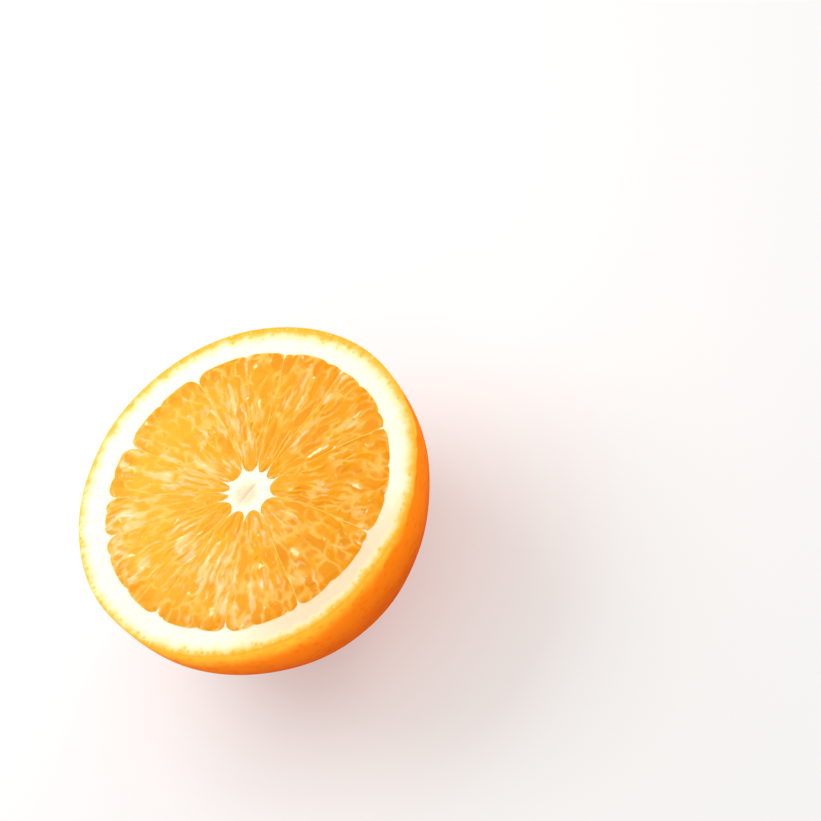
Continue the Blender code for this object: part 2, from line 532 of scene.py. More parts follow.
def rind_colour(tree, position, glands, share):
    """The cut rind's colour by its depth under the skin: orange, then yellow, then white, with painted
    shade as a darker cream on one flank.
    """
    flat = vector_math(tree, "MULTIPLY", position, (1.0, 1.0, 0.0))
    on_rim = vector_math(tree, "NORMALIZE", flat)
    depth = uneven_depth(tree, position, on_rim, glands)
    from_axis = vector_math(tree, "LENGTH", flat, output="Value")
    in_rind = product(tree, ramp(tree, from_axis, 0.02, 0.03), ramp(tree, depth, 1.1, 2.8))
    # Painted shade: the pith turns a darker cream on one flank
    cream = product(tree, ramp(tree, towards(tree, on_rim, SHADED_FLANK), 0.65, 1.0), in_rind)
    colour = painted(
        tree, RIND_ORANGE,
        (ramp(tree, depth, -0.6, 0.8), RIND_YELLOW),
        (ramp(tree, depth, 0.3, 1.6), RIND_PALE),
        (ramp(tree, depth, 1.2, 3.1), PITH_WHITE),
        (cream, PITH_SHADED_CREAM))
    return blend_colours(tree, product(tree, share, 0.3), colour, PITH_SHADE, "MULTIPLY")


def skin_colour(tree, position, share, in_pore):
    """Orange skin with painted shade, darker low down and brighter towards the cut; a golden band under
    the cut as a painted glow of light through the rind; duller in its pores.
    """
    height = add(tree, "ShaderNodeSeparateXYZ", {"Vector": position}).outputs["Z"]
    # The painted glow of the golden band reaches further down on one flank
    foot_of_glow = ramp(tree, towards(tree, position, GLOW_FLANK), -0.01, 0.038,
                        CUT_HEIGHT - GLOW_BAND_NARROW, CUT_HEIGHT - GLOW_BAND_WIDE)
    ragged = calculate(tree, "SUBTRACT", height, product(tree, share, 0.0015))
    # Painted shade and light: darker low down, brighter towards the cut, and a golden band that stands
    # in for light through the rind
    colour = painted(
        tree, SKIN_SHADED,
        (share, SKIN_BRIGHT),
        (ramp(tree, height, CUT_HEIGHT - LIT_SKIN_WIDTH, CUT_HEIGHT - 0.001), SKIN_LIT_NEAR_CUT),
        (ramp(tree, ragged, foot_of_glow, CUT_HEIGHT - 0.0005), SKIN_GLOW_GOLDEN))
    return blend_colours(tree, product(tree, in_pore, 0.55), colour, PORE_SHADE, "MULTIPLY")


def skin_material(mottles, glands):
    """Waxy orange skin with pores, turning to the cut rind's colours at the cut."""
    material, tree, shader = new_material(
        "Orange skin", IOR=1.4, Specular_IOR_Level=0.0, Subsurface_Weight=0.1, Subsurface_Scale=0.0015,
        Subsurface_Radius=(1.0, 0.4, 0.1), Coat_Weight=0.06, Coat_Roughness=0.3, Coat_IOR=1.4)
    position = object_position(tree)
    in_pore = use_group(tree, glands, {"Position": position})["Depth"]
    share, grain = mottle_of(tree, mottles, patch_size=0.006, grain_size=0.00035)
    skin = skin_colour(tree, position, share, in_pore)
    cut = rind_colour(tree, position, glands, share)
    is_cut = ramp(tree, attribute_of(tree, "depth"), 0.02, 0.12)
    dress(tree, shader, blend_colours(tree, is_cut, skin, cut), grain, 0.34, 0.46)
    relief = total(tree, product(tree, in_pore, -1.0), product(tree, grain, 0.35))
    bump(tree, shader, relief, 0.00012, 0.8)
    return material


def pith_material(mottles, glands):
    """Soft white pith, yellow under the skin, stained by juice at the flesh, and darker cream at the
    core's middle and in its crease.
    """
    material, tree, shader = new_material(
        "White pith", IOR=1.4, Specular_IOR_Level=0.3, Subsurface_Weight=0.4, Subsurface_Scale=0.0015,
        Subsurface_Radius=(1.0, 0.7, 0.45))
    position = object_position(tree)
    share, grain = mottle_of(tree, mottles, patch_size=0.004, grain_size=0.0004)
    from_stain = vector_math(tree, "DISTANCE", position, CORE_TINT_PLACE, "Value")
    patchy = ramp(tree, grain, 0.3, 0.6, 0.7, 1.0)
    colour = painted(
        tree, rind_colour(tree, position, glands, share),
        (ramp(tree, attribute_of(tree, "by_flesh"), 0.88, 1.0, 0.0, 0.55), JUICE_STAIN),
        (product(tree, ramp(tree, from_stain, 0.0016, 0.0038, 1.0, 0.0), patchy), CORE_CREAM_TINT),
        (product(tree, attribute_of(tree, "crease"), 0.5), CREASE_TINT))
    dress(tree, shader, colour, grain, 0.6, 0.8)
    bump(tree, shader, grain, 0.00008, 0.5)
    return material


def membrane_material(mottles):
    """The thin pale walls between the segments, white where they join the core and the pith."""
    material, tree, shader = new_material("Membrane", IOR=1.4, Specular_IOR_Level=0.15)
    outward = attribute_of(tree, "outward")
    share, grain = mottle_of(tree, mottles, patch_size=0.003, grain_size=0.0004)
    at_core = ramp(tree, outward, 0.0, 0.06, 1.0, 0.0)
    at_rind = ramp(tree, outward, 0.95, 0.995)
    ends = calculate(tree, "MAXIMUM", at_core, at_rind)
    colour = painted(tree, MEMBRANE_DEEP, (share, MEMBRANE_PALE), (ends, MEMBRANE_END))
    dress(tree, shader, colour, grain, 0.4, 0.6)
    bump(tree, shader, grain, 0.0001, 0.5)
    return material


def sac_walls(tree, position, edge, outward):
    """The sacs' thin pale walls, broken here and there, and fainter near the core."""
    thin = ramp(tree, edge, 0.0, 0.17, 1.0, 0.0)
    broken = ramp(tree, noise_node(tree, position, 1 / 0.0035), 0.38, 0.62)
    clear_of_core = ramp(tree, outward, 0.03, 0.3, 0.3, 1.0)
    return product(tree, thin, product(tree, broken, clear_of_core))


def opened_sacs(tree, position, sacs, outward, flank, own):
    """How far a sac is cut open: more in clusters, midway out and along fibres, and more on one flank as
    painted glare.
    """
    torn = stretched_noise(tree, sacs, (1.5, 1.4, 1.0), 1.5)
    fibres = stretched_noise(tree, sacs, (2.4, 0.6, 1.0), 1.5)
    clusters = ramp(tree, noise_node(tree, position, 1 / 0.0105), 0.35, 0.65, -0.17, 0.06)
    midway = product(tree, ramp(tree, outward, 0.0, 0.15), ramp(tree, outward, 0.6, 1.0, 1.0, 0.0))
    return total(tree, torn, clusters, product(tree, midway, 0.06), product(tree, flank, 0.1),
                 product(tree, own, 0.12), product(tree, fibres, 0.5))


def flesh_material(mottles):
    """Wet juice sacs with thin pale walls and paler patches where they are cut open, and painted
    highlights: the palest torn sacs and scattered pale spots stand in for glints.
    """
    material, tree, shader = new_material(
        "Juice sacs", IOR=1.36, Specular_IOR_Level=0.12, Subsurface_Weight=0.3, Subsurface_Scale=0.001,
        Subsurface_Radius=(1.0, 0.45, 0.1), Coat_Weight=0.06, Coat_Roughness=0.08, Coat_IOR=1.33)
    position = object_position(tree)
    sacs = attribute_of(tree, "sac_space", "Vector")
    outward = attribute_of(tree, "outward")
    share, grain = mottle_of(tree, mottles, patch_size=0.007, grain_size=0.0003)
    drawn = voronoi_node(tree, sacs).outputs["Color"]
    cell = add(tree, "ShaderNodeSeparateColor", {"Color": drawn}).outputs
    edge = voronoi_node(tree, sacs, feature="DISTANCE_TO_EDGE").outputs["Distance"]
    wall = sac_walls(tree, position, edge, outward)
    # Painted glare: on this flank the flesh is paler, and more of it looks cut open
    flank = ramp(tree, towards(tree, position, GLARE_FLANK), -0.02, 0.03)
    opened = opened_sacs(tree, position, sacs, outward, flank, cell["Green"])
    pale = ramp(tree, opened, 0.88, 1.2)
    # Painted glints: where this noise is high, the flesh is painted a pale highlight colour
    glint_noise = stretched_noise(tree, sacs, (1.5, 2.6, 1.0), 1.0)
    colour = painted(
        tree, SAC_DARK,
        (cell["Red"], SAC_BRIGHT),
        (product(tree, share, 0.4), SAC_LIGHT),
        (product(tree, flank, 0.65), SAC_ON_GLARE_FLANK),
        (ramp(tree, outward, 0.78, 0.97, 0.0, 0.7), SAC_BY_RIND),
        (ramp(tree, edge, 0.0, 0.25, 0.35, 0.0), SAC_EDGE),
        (pale, SAC_OPENED),
        # painted highlight on the palest torn sacs
        (ramp(tree, opened, 1.16, 1.28), SAC_TORN_HIGHLIGHT),
        (product(tree, wall, 0.58), SAC_WALL),
        (ramp(tree, glint_noise, 0.68, 0.82, 0.0, 0.9), PAINTED_GLINT))
    dress(tree, shader, colour, grain, 0.3, 0.45)
    relief = total(tree, product(tree, wall, 0.5), product(tree, pale, 0.5), product(tree, grain, 0.3))
    bump(tree, shader, relief, 0.0002, 0.5)
    return material


def gland_material(mottles):
    """The oily beads of the glands that the knife has opened."""
    material, tree, shader = new_material(
        "Oil gland", IOR=1.4, Specular_IOR_Level=0.2, Coat_Weight=0.15, Coat_Roughness=0.1)
    share, grain = mottle_of(tree, mottles, patch_size=0.003, grain_size=0.0003)
    dress(tree, shader, blend_colours(tree, share, GLAND_DEEP, GLAND_PALE), grain, 0.2, 0.4)
    bump(tree, shader, grain, 0.00005, 0.5)
    return material


def scar_material(mottles):
    """The dry tan scar at the fruit's end."""
    material, tree, shader = new_material("Dry scar", IOR=1.4)
    share, grain = mottle_of(tree, mottles, patch_size=0.0008, grain_size=0.0002)
    dress(tree, shader, blend_colours(tree, share, SCAR_BROWN, SCAR_TAN), grain, 0.7, 0.9)
    bump(tree, shader, grain, 0.0002, 0.8)
    return material


def floor_material():
    material, _, shader = new_material(
        "Pale floor", Roughness=0.8, Specular_IOR_Level=0.1, Emission_Strength=0.28)
    shader.inputs["Base Color"].default_value = FLOOR_GREY
    return material


# Geometry Nodes


GEOMETRY_OUTPUT = (("Geometry", "Geometry"),)


def finish_with(obj, group, values):
    """Runs a geometry tree on a piece with the values given, and keeps the result as a plain mesh."""
    modifier = obj.modifiers.new("shape", "NODES")
    modifier.node_group = group
    for item in group.interface.items_tree:
        if item.in_out == "INPUT" and item.name in values:
            modifier[item.identifier] = values[item.name]
    evaluated = obj.evaluated_get(bpy.context.evaluated_depsgraph_get())
    mesh = bpy.data.meshes.new_from_object(evaluated)
    obj.modifiers.remove(modifier)
    before = obj.data
    obj.data = mesh
    bpy.data.meshes.remove(before)
    mesh.name = obj.name
    smooth_but_for_edges(mesh)
    return obj


def end_tree(group, geometry, result, material):
    """Every geometry tree ends by realizing its instances and setting its material."""
    real = add(group, "GeometryNodeRealizeInstances", {"Geometry": geometry})
    inputs = {"Geometry": real.outputs[0], "Material": material}
    finished = add(group, "GeometryNodeSetMaterial", inputs)
    group.links.new(finished.outputs[0], result["Geometry"])


def pore_tree(material):
    """Presses pores into the skin, where the pores attribute says that it is skin."""
    inputs = (("Geometry", "Geometry", None), ("Pitch", "Float", 0.002),
              ("Pore Radius", "Float", 0.001), ("Pore Depth", "Float", 0.0001))
    group, given, result = new_group("Skin pores", "GeometryNodeTree", inputs, GEOMETRY_OUTPUT)
    place = add(group, "GeometryNodeInputPosition").outputs[0]
    normal = add(group, "GeometryNodeInputNormal").outputs[0]
    skin = add(group, "GeometryNodeInputNamedAttribute", {"Name": "pores"}, data_type="FLOAT")
    per_pitch = calculate(group, "DIVIDE", 1.0, given["Pitch"])
    away = product(group, voronoi_node(group, place, per_pitch).outputs["Distance"], given["Pitch"])
    share = calculate(group, "DIVIDE", away, given["Pore Radius"])
    pit = product(group, ramp(group, share, 0.0, 1.0, 1.0, 0.0), given["Pore Depth"])
    deep = product(group, pit, skin.outputs["Attribute"])
    inward = scaled(group, normal, product(group, deep, -1.0))
    moved = add(group, "GeometryNodeSetPosition", {"Geometry": given["Geometry"], "Offset": inward})
    end_tree(group, moved.outputs[0], result, material)
    return group


def sac_tree(material):
    """Bends the lines of the sac space, and lets each sac between its walls bulge or sink."""
    inputs = (("Geometry", "Geometry", None), ("Relief", "Float", 0.0002),
              ("Warp", "Float", 0.5), ("Warp Size", "Float", 0.004))
    group, given, result = new_group("Juice sacs", "GeometryNodeTree", inputs, GEOMETRY_OUTPUT)
    place = add(group, "GeometryNodeInputPosition").outputs[0]
    laid = add(group, "GeometryNodeInputNamedAttribute", {"Name": "sac_space"}, data_type="FLOAT_VECTOR")
    top = add(group, "GeometryNodeInputNamedAttribute", {"Name": "top"}, data_type="FLOAT")
    per_size = calculate(group, "DIVIDE", 1.0, given["Warp Size"])
    drift = add(group, "ShaderNodeTexNoise", {"Vector": place, "Scale": per_size, "Detail": 2.0})
    centred = vector_math(group, "SUBTRACT", drift.outputs["Color"], (0.5, 0.5, 0.5))
    warp = scaled(group, centred, given["Warp"])
    space = vector_math(group, "ADD", socket_of(laid.outputs, "Attribute"), warp)
    kept = add(group, "GeometryNodeStoreNamedAttribute",
               {"Geometry": given["Geometry"], "Name": "sac_space", "Value": space},
               data_type="FLOAT_VECTOR", domain="POINT")
    edge = voronoi_node(group, space, feature="DISTANCE_TO_EDGE").outputs["Distance"]
    drawn = voronoi_node(group, space).outputs["Color"]
    cell = add(group, "FunctionNodeSeparateColor", {"Color": drawn})
    own = ramp(group, cell.outputs["Blue"], 0.0, 1.0, -0.5, 1.0)
    height = product(group, ramp(group, edge, 0.0, 0.4), own)
    lifted = product(group, product(group, height, given["Relief"]), top.outputs["Attribute"])
    offset = add(group, "ShaderNodeCombineXYZ", {"Z": lifted}).outputs[0]
    moved = add(group, "GeometryNodeSetPosition", {"Geometry": kept.outputs[0], "Offset": offset})
    end_tree(group, moved.outputs[0], result, material)
    return group


def bead_tree(material):
    """Sets a low bead on every point of a mesh, each sized by its own draw."""
    inputs = (("Geometry", "Geometry", None), ("Bead Radius", "Float", 0.0004),
              ("Flatness", "Float", 0.4), ("Seed", "Int", 3))
    group, given, result = new_group("Gland beads", "GeometryNodeTree", inputs, GEOMETRY_OUTPUT)
    points = add(group, "GeometryNodeMeshToPoints", {"Mesh": given["Geometry"]})
    ball = add(group, "GeometryNodeMeshIcoSphere", {"Radius": given["Bead Radius"], "Subdivisions": 2})
    flat = add(group, "ShaderNodeCombineXYZ", {"X": 1.0, "Y": 1.0, "Z": given["Flatness"]})
    limits = {"Min_001": 0.55, "Max_001": 1.25, "Seed": given["Seed"]}
    size = add(group, "FunctionNodeRandomValue", limits, data_type="FLOAT")
    scale = scaled(group, flat.outputs[0], socket_of(size.outputs, "Value_001"))
    beads = add(group, "GeometryNodeInstanceOnPoints",
                {"Points": points.outputs[0], "Instance": ball.outputs[0], "Scale": scale})
    end_tree(group, beads.outputs[0], result, material)
    return group


# The fruit's own lines


def core_reach(across):
    """The core's edge from its centre: a star with a point on each membrane."""
    towards_point = np.abs(2 * across - 1) ** CORE_POINT_SHARPNESS
    return CORE_VALLEY_RADIUS + (CORE_POINT_RADIUS - CORE_VALLEY_RADIUS) * towards_point


def membrane_angle(index, outward):
    """A membrane's direction, in radians, from 0 at the core to 1 at the rind."""
    turns, number = divmod(index, SEGMENTS)
    rind = RIND_DEGREES[number] + 360 * turns
    core = CORE_DEGREES[number] + 360 * turns
    outward = np.asarray(outward, dtype=float)
    own_line = np.full_like(outward, 7.3 * number)
    places = np.stack([outward * 2.2, own_line, np.zeros_like(outward)], axis=-1)
    wander = MEMBRANE_WANDER_DEGREES * noise_at(places, 1.0) * np.sin(math.pi * np.clip(outward, 0, 1))
    return np.radians(core + (rind - core) * outward + wander)


def membrane_half_width(outward):
    """Half a membrane's thickness: it flares into the core at one end and into the pith at the other."""
    at_core = MEMBRANE_FLARE_AT_CORE * np.exp(-np.clip(outward, 0, 1) / 0.02)
    at_rind = MEMBRANE_FLARE_AT_RIND * np.exp(-np.clip(1 - outward, 0, 1) / 0.02)
    return MEMBRANE_HALF_WIDTH + at_core + at_rind


def segment_span(segment):
    """A segment's width in degrees along the rind."""
    following = RIND_DEGREES[(segment + 1) % SEGMENTS]
    return (following - RIND_DEGREES[segment]) % 360


def flesh_reach(segment, across):
    """Where a segment ends under the rind: a wavy arc with rounded corners at its two membranes."""
    width = math.radians(segment_span(segment)) * FLESH_RADIUS
    angle = math.radians(RIND_DEGREES[segment]) + across * math.radians(segment_span(segment))
    rim = spread(angle) * FLESH_RADIUS
    uneven = angle + 0.12 * noise_at(rim, 0.012, 5.0)
    cusp = 1 - np.abs(np.sin(uneven * 180 / SCALLOP_DEGREES))
    reach = FLESH_RADIUS + FLESH_OFFSET * np.cos(angle - math.radians(FLESH_OFFSET_DEGREES))
    reach = reach + FLESH_WAVE * noise_at(rim, FLESH_WAVE_LENGTH) - SCALLOP_DEPTH * cusp ** 4
    for depth, away in ((NOTCH_DEPTHS[segment], across * width),
                        (NOTCH_DEPTHS[(segment + 1) % SEGMENTS], (1 - across) * width)):
        corner = np.clip(1 - away / NOTCH_WIDTH, 0, 1)
        reach = reach - depth * corner ** NOTCH_SHARPNESS
    return reach


def flesh_height(outward):
    """The flesh swells a little above the cut, and falls level with it at the rind and the core."""
    from_end = np.minimum(outward, 1 - outward) * FLESH_LENGTH
    return CUT_HEIGHT + FLESH_RISE * smooth_step(from_end / FLESH_SHOULDER)


def on_face(segment, across, outward, gap=0.0):
    """A point of the cut at shares across and out along a segment, a gap clear of its membranes."""
    left = membrane_angle(segment, outward)
    right = membrane_angle(segment + 1, outward)
    inner, outer = core_reach(across), flesh_reach(segment, across)
    radius = inner + (outer - inner) * outward
    keep = gap / radius
    angle = left + keep + across * (right - left - 2 * keep)
    points = spread(angle) * radius[..., None]
    points[..., 0] += CORE_CENTRE[0] * (1 - outward)
    points[..., 1] += CORE_CENTRE[1] * (1 - outward)
    points[..., 2] = CUT_HEIGHT
    return points


def skin_points(angle, share):
    """Points of the skin, with its broad lumps, from share 0 at the flat spot's edge to 1 at the cut."""
    lowest = math.acos(FLAT_SPOT_RADIUS / FRUIT_RADIUS)
    down = lowest * (1 - share)
    depth = CUT_HEIGHT / math.sin(lowest)
    outward = spread(angle) * np.cos(down)[..., None]
    direction = at_height(outward, -np.sin(down))
    lumps = LUMP_HEIGHT * noise_at(direction * FRUIT_RADIUS, LUMP_SIZE)
    points = at_height(outward * FRUIT_RADIUS, CUT_HEIGHT - depth * np.sin(down))
    return points + direction * (lumps * smooth_step(share / RELIEF_FADE))[..., None]


# The pieces


def angles_round(columns):
    return np.linspace(0, 2 * math.pi, columns, endpoint=False)


def from_axis(points):
    """How far the points are from the fruit's axis."""
    return np.linalg.norm(points[..., :2], axis=-1)


def moved_in(points, inset):
    """The points moved by an inset towards the middle of the cut."""
    centre = np.array([0.0, 0.0, CUT_HEIGHT])
    away = points - centre
    length = np.linalg.norm(away, axis=-1, keepdims=True)
    return centre + away * (length - inset) / length


def bowl_rings(columns, count, inset):
    """Rings of a bowl under the skin by an inset, from its bottom up to the cut."""
    share, angle = np.meshgrid(np.linspace(0, 1, count), angles_round(columns), indexing="ij")
    return moved_in(skin_points(angle, share), inset)


def flat_spot_rings(lines):
    """Rings of the flat spot from its middle out, with the dimple that holds the scar."""
    shares = (0.03, 0.15, 0.3, 0.45, 0.6, 0.75, 0.88)
    rings = np.array([lines * FLAT_SPOT_RADIUS * share for share in shares])
    return at_height(rings, SCAR_DEPTH * (1 - smooth_step(from_axis(rings) / DIMPLE_RADIUS)))


def cut_edge_rings(lines, radius):
    """Rings of the skin's cut: round its outer edge, then in to the seam with the pith."""
    rings = []
    for turn in (30, 60, 90):
        inset = CUT_EDGE_ROUNDING * (1 - math.cos(math.radians(turn)))
        drop = CUT_EDGE_ROUNDING * (1 - math.sin(math.radians(turn)))
        rings.append(at_height(lines * (radius - inset)[:, None], CUT_HEIGHT - drop))
    for inset in np.linspace(CUT_EDGE_ROUNDING, SKIN_THICKNESS, 5)[1:]:
        level = 1 - smooth_step(inset / SKIN_THICKNESS)
        uneven = CUT_RELIEF * level * noise_at(lines * 40, 1.0, inset * 9000)
        height = CUT_HEIGHT + uneven - SEAM_STEP * (1 - level)
        rings.append(at_height(lines * (radius - inset)[:, None], height))
    return np.array(rings)


def make_peel(material):
    """The coloured skin: a bowl with pores outside, a cut edge on top and a smooth inside."""
    lines = spread(angles_round(PEEL_COLUMNS))
    outer = bowl_rings(PEEL_COLUMNS, PEEL_RINGS, 0.0)
    radius = from_axis(outer[-1])
    below_cut = CUT_HEIGHT - outer[..., 2]
    outer[..., 2] -= CUT_EDGE_ROUNDING * np.clip(1 - below_cut / EDGE_BLEND, 0, 1)
    spot = flat_spot_rings(lines)
    edge = cut_edge_rings(lines, radius)
    inner = bowl_rings(PEEL_COLUMNS, 24, SKIN_THICKNESS)[::-1]
    inner[0, :, 2] -= LIP_DROP
    height = SKIN_THICKNESS + SCAR_DEPTH
    foot = [at_height(lines * FLAT_SPOT_RADIUS * share, height) for share in (0.6, 0.3)]
    rings = np.concatenate([spot, outer, edge, inner, foot])
    start, end = len(spot) + len(outer), len(spot) + len(outer) + len(edge)
    depth = np.zeros(rings.shape[:2])
    depth[start:end] = (radius - from_axis(edge)) * MILLIMETRES
    depth[end:] = SKIN_THICKNESS * MILLIMETRES
    up = np.linspace(0, 1, PEEL_RINGS)
    pores = np.zeros(rings.shape[:2])
    pores[len(spot):start] = (smooth_step(up / 0.1) * smooth_step((1 - up) / 0.01))[:, None]
    peel = turned_solid("peel", rings, {"depth": depth, "pores": pores})
    values = {"Pitch": PORE_PITCH, "Pore Radius": PORE_RADIUS, "Pore Depth": PORE_DEPTH}
    return finish_with(peel, pore_tree(material), values)


def edge_of_flesh(outward):
    """The closed line of the flesh's edge, at the core (0) or under the rind (1)."""
    gap = membrane_half_width(outward) + FLESH_CLEARANCE
    across = crowded_at_ends(np.linspace(0, 1, 60, endpoint=False), 0.9)
    outward = np.full_like(across, outward)
    return np.concatenate([on_face(segment, across, outward, gap) for segment in range(SEGMENTS)])


def pith_outside(skin, lines):
    """Rings of the pith's outside: its foot over the flat spot, then up under the skin to the cut."""
    height = SKIN_THICKNESS + SCAR_DEPTH + FOOT_CLEARANCE
    foot = [at_height(lines * FLAT_SPOT_RADIUS * share, height) for share in (0.2, 0.6)]
    inset = np.full((len(skin), 1, 1), SKIN_THICKNESS + FLESH_CLEARANCE)
    inset[-1] = SKIN_THICKNESS - SEAM_OVERLAP
    return np.concatenate([foot, moved_in(skin, inset)])


def pith_top(lines, parts, outer, inner):
    """Rings of the cut pith from the skin in to the flesh: uneven, but level at both its edges."""
    rings = []
    for part in parts:
        ring = lines * (outer + (inner - FLESH_OVERLAP - outer) * part)[:, None]
        relief = PITH_RELIEF * noise_at(ring, 0.0016) + PITH_RELIEF * noise_at(ring, 0.005, 4.0)
        level = smooth_step((1 - part) / 0.12)
        off_seam = smooth_step(part / 0.12)
        rings.append(at_height(ring, CUT_HEIGHT + relief * level * off_seam - EDGE_DROP * (1 - level)))
    return np.array(rings)


def pith_bed(lines, flesh_edge):
    """Rings of the bowl that the segments lie in, from under the cut down to the core's foot."""
    rings = []
    for down in np.radians(np.linspace(2, BED_LOWEST_DEGREES, 16)):
        reach = np.maximum(np.minimum(flesh_edge, BED_RADIUS) * math.cos(down), CORE_FOOT_RADIUS * 1.3)
        rings.append(at_height(lines * reach[:, None], CUT_HEIGHT - BED_RADIUS * math.sin(down)))
    return np.array(rings)


def core_side(star):
    """Rings up the core's side, from its foot in the bed to its star-shaped edge at the cut."""
    lowest = CUT_HEIGHT - BED_RADIUS * math.sin(math.radians(BED_LOWEST_DEGREES))
    highest = CUT_HEIGHT - EDGE_DROP
    rings = []
    for part in np.linspace(0, 1, 12)[1:]:
        narrow = CORE_FOOT_RADIUS / CORE_POINT_RADIUS * (1 - part) + part
        ring = CORE_MIDDLE + (star - CORE_MIDDLE) * narrow
        rings.append(at_height(ring, lowest + (highest - lowest) * part))
    return np.array(rings)


def core_top(star):
    """Rings of the core's cut from its edge in, and how deep in the crease each of their points is."""
    rings, creases = [], []
    for part in (0.97, 0.93, 0.87, 0.8, 0.72, 0.63, 0.54, 0.45, 0.36, 0.27, 0.18, 0.1, 0.03):
        away = (star - CORE_MIDDLE) * part
        ring = CORE_MIDDLE + away
        along = np.clip(1 - (away[:, 0] / CREASE_HALF_LENGTH) ** 2, 0, 1)
        bend = CREASE_BEND * np.sin(away[:, 0] / CREASE_WAVE + 0.6)
        crease = along * np.exp(-(((away[:, 1] - bend) / CREASE_HALF_WIDTH) ** 2))
        relief = PITH_RELIEF * (noise_at(ring, 0.0012, 8.0) + 0.5 * noise_at(ring, 0.0004, 2.0))
        sunk = (relief - CORE_SINK) * smooth_step((1 - part) / 0.25) - CREASE_DEPTH * crease
        rings.append(at_height(ring, CUT_HEIGHT - EDGE_DROP + sunk))
        creases.append(crease)
    return np.array(rings), np.array(creases)


def make_pith(material):
    """The white pith as a bowl, with the core standing up from its bottom."""
    rim, star = edge_of_flesh(1.0), edge_of_flesh(0.0)
    angle = np.arctan2(rim[:, 1], rim[:, 0])
    lines = spread(angle)
    share, angle = np.meshgrid(np.linspace(0, 1, 36), angle, indexing="ij")
    skin = skin_points(angle, share)
    outside = pith_outside(skin, lines)
    parts = crowded_at_ends(np.linspace(0, 1, 18), 0.5)[1:]
    top = pith_top(lines, parts, from_axis(outside[-1]), from_axis(rim))
    core, creases = core_top(star)
    rings = np.concatenate([outside, top, pith_bed(lines, from_axis(rim)), core_side(star), core])
    start, end = len(outside), len(outside) + len(top)
    depth = np.full(rings.shape[:2], DEPTH_OF_WHITE)
    depth[:start] = SKIN_THICKNESS * MILLIMETRES
    depth[start:end] = (from_axis(skin[-1]) - from_axis(top)) * MILLIMETRES
    by_flesh = np.zeros(rings.shape[:2])
    by_flesh[start:end] = parts[:, None]
    in_crease = np.zeros(rings.shape[:2])
    in_crease[-len(core):] = creases
    pith = turned_solid("pith", rings, {"depth": depth, "by_flesh": by_flesh, "crease": in_crease})
    pith.data.materials.append(material)
    return pith


def sac_space(segment, across, outward):
    """Places in a space where a juice sac is about one unit long and wide. Each segment has its own."""
    to_rind = (1 - outward) * FLESH_LENGTH
    longer = SAC_LENGTH_AT_RIND - SAC_LENGTH_INSIDE
    length = SAC_LENGTH_INSIDE + longer * np.exp(-to_rind / SAC_LENGTH_FADE)
    angle = (across - 0.5) * math.radians(segment_span(segment))
    sideways = angle * SACS_PER_RADIAN * (0.6 + 0.4 * outward)
    return np.stack([sideways, to_rind / length, np.full_like(angle, 3.7 * segment + 0.5)], axis=-1)


def segment_sides(rim):
    """Rings down a segment's sides, which narrow towards the fruit's axis and follow the bed."""
    reach = from_axis(rim)
    nearest = reach.min()
    rings = []
    for down in np.radians((4, 14, 26, 40, 54, 66, 74)):
        shrunk = nearest + (reach - nearest) * (math.cos(down) - 0.1) / 0.9
        height = CUT_HEIGHT - (BED_RADIUS - BED_CLEARANCE) * math.sin(down)
        rings.append(at_height(rim * (shrunk / reach)[:, None], height))
    return rings


def make_segment(segment, tree):
    """One wedge of flesh: a fine top with its juice sacs, and sides that follow its membranes down."""
    span = math.radians(segment_span(segment))
    width = span * FLESH_RADIUS
    columns = max(24, round(0.75 * width / GRID_STEP))
    rows = round(FLESH_LENGTH / GRID_STEP)
    across = crowded_at_ends(np.linspace(0, 1, columns), 0.35)
    outward = crowded_at_ends(np.linspace(0, 1, rows), 0.25)
    outward, across = np.meshgrid(outward, across, indexing="ij")
    top = on_face(segment, across, outward, membrane_half_width(outward) + FLESH_CLEARANCE)
    top[..., 2] = flesh_height(outward)
    from_side = np.minimum(across, 1 - across) * span * from_axis(top)
    from_end = np.minimum(outward, 1 - outward) * FLESH_LENGTH
    inside = smooth_step(np.minimum(from_side, from_end) / SAC_FADE)
    border = grid_border(rows, columns)
    top = top.reshape(-1, 3)
    sides = segment_sides(top[border])
    points = np.concatenate([top, *sides])
    first = len(top) + np.arange(len(border))
    faces = grid_faces(rows, columns)
    faces += np.stack([border, np.roll(border, -1), np.roll(first, -1), first], axis=-1).tolist()
    faces += ring_faces(len(sides), len(border), len(top))
    faces.append(list(range(len(points) - len(border), len(points))))
    outward_of, space = outward.ravel(), sac_space(segment, across, outward).reshape(-1, 3)
    stored = {
        "top": np.concatenate([inside.ravel(), np.zeros(len(points) - len(top))]),
        "outward": np.concatenate([outward_of, np.tile(outward_of[border], len(sides))]),
        "sac_space": np.concatenate([space, np.tile(space[border], (len(sides), 1))]),
    }
    piece = solid_from(f"segment_{segment + 1:02d}", points, faces, stored)
    values = {"Relief": SAC_RELIEF, "Warp": SAC_WARP, "Warp Size": SAC_WARP_SIZE}
    return finish_with(piece, tree, values)


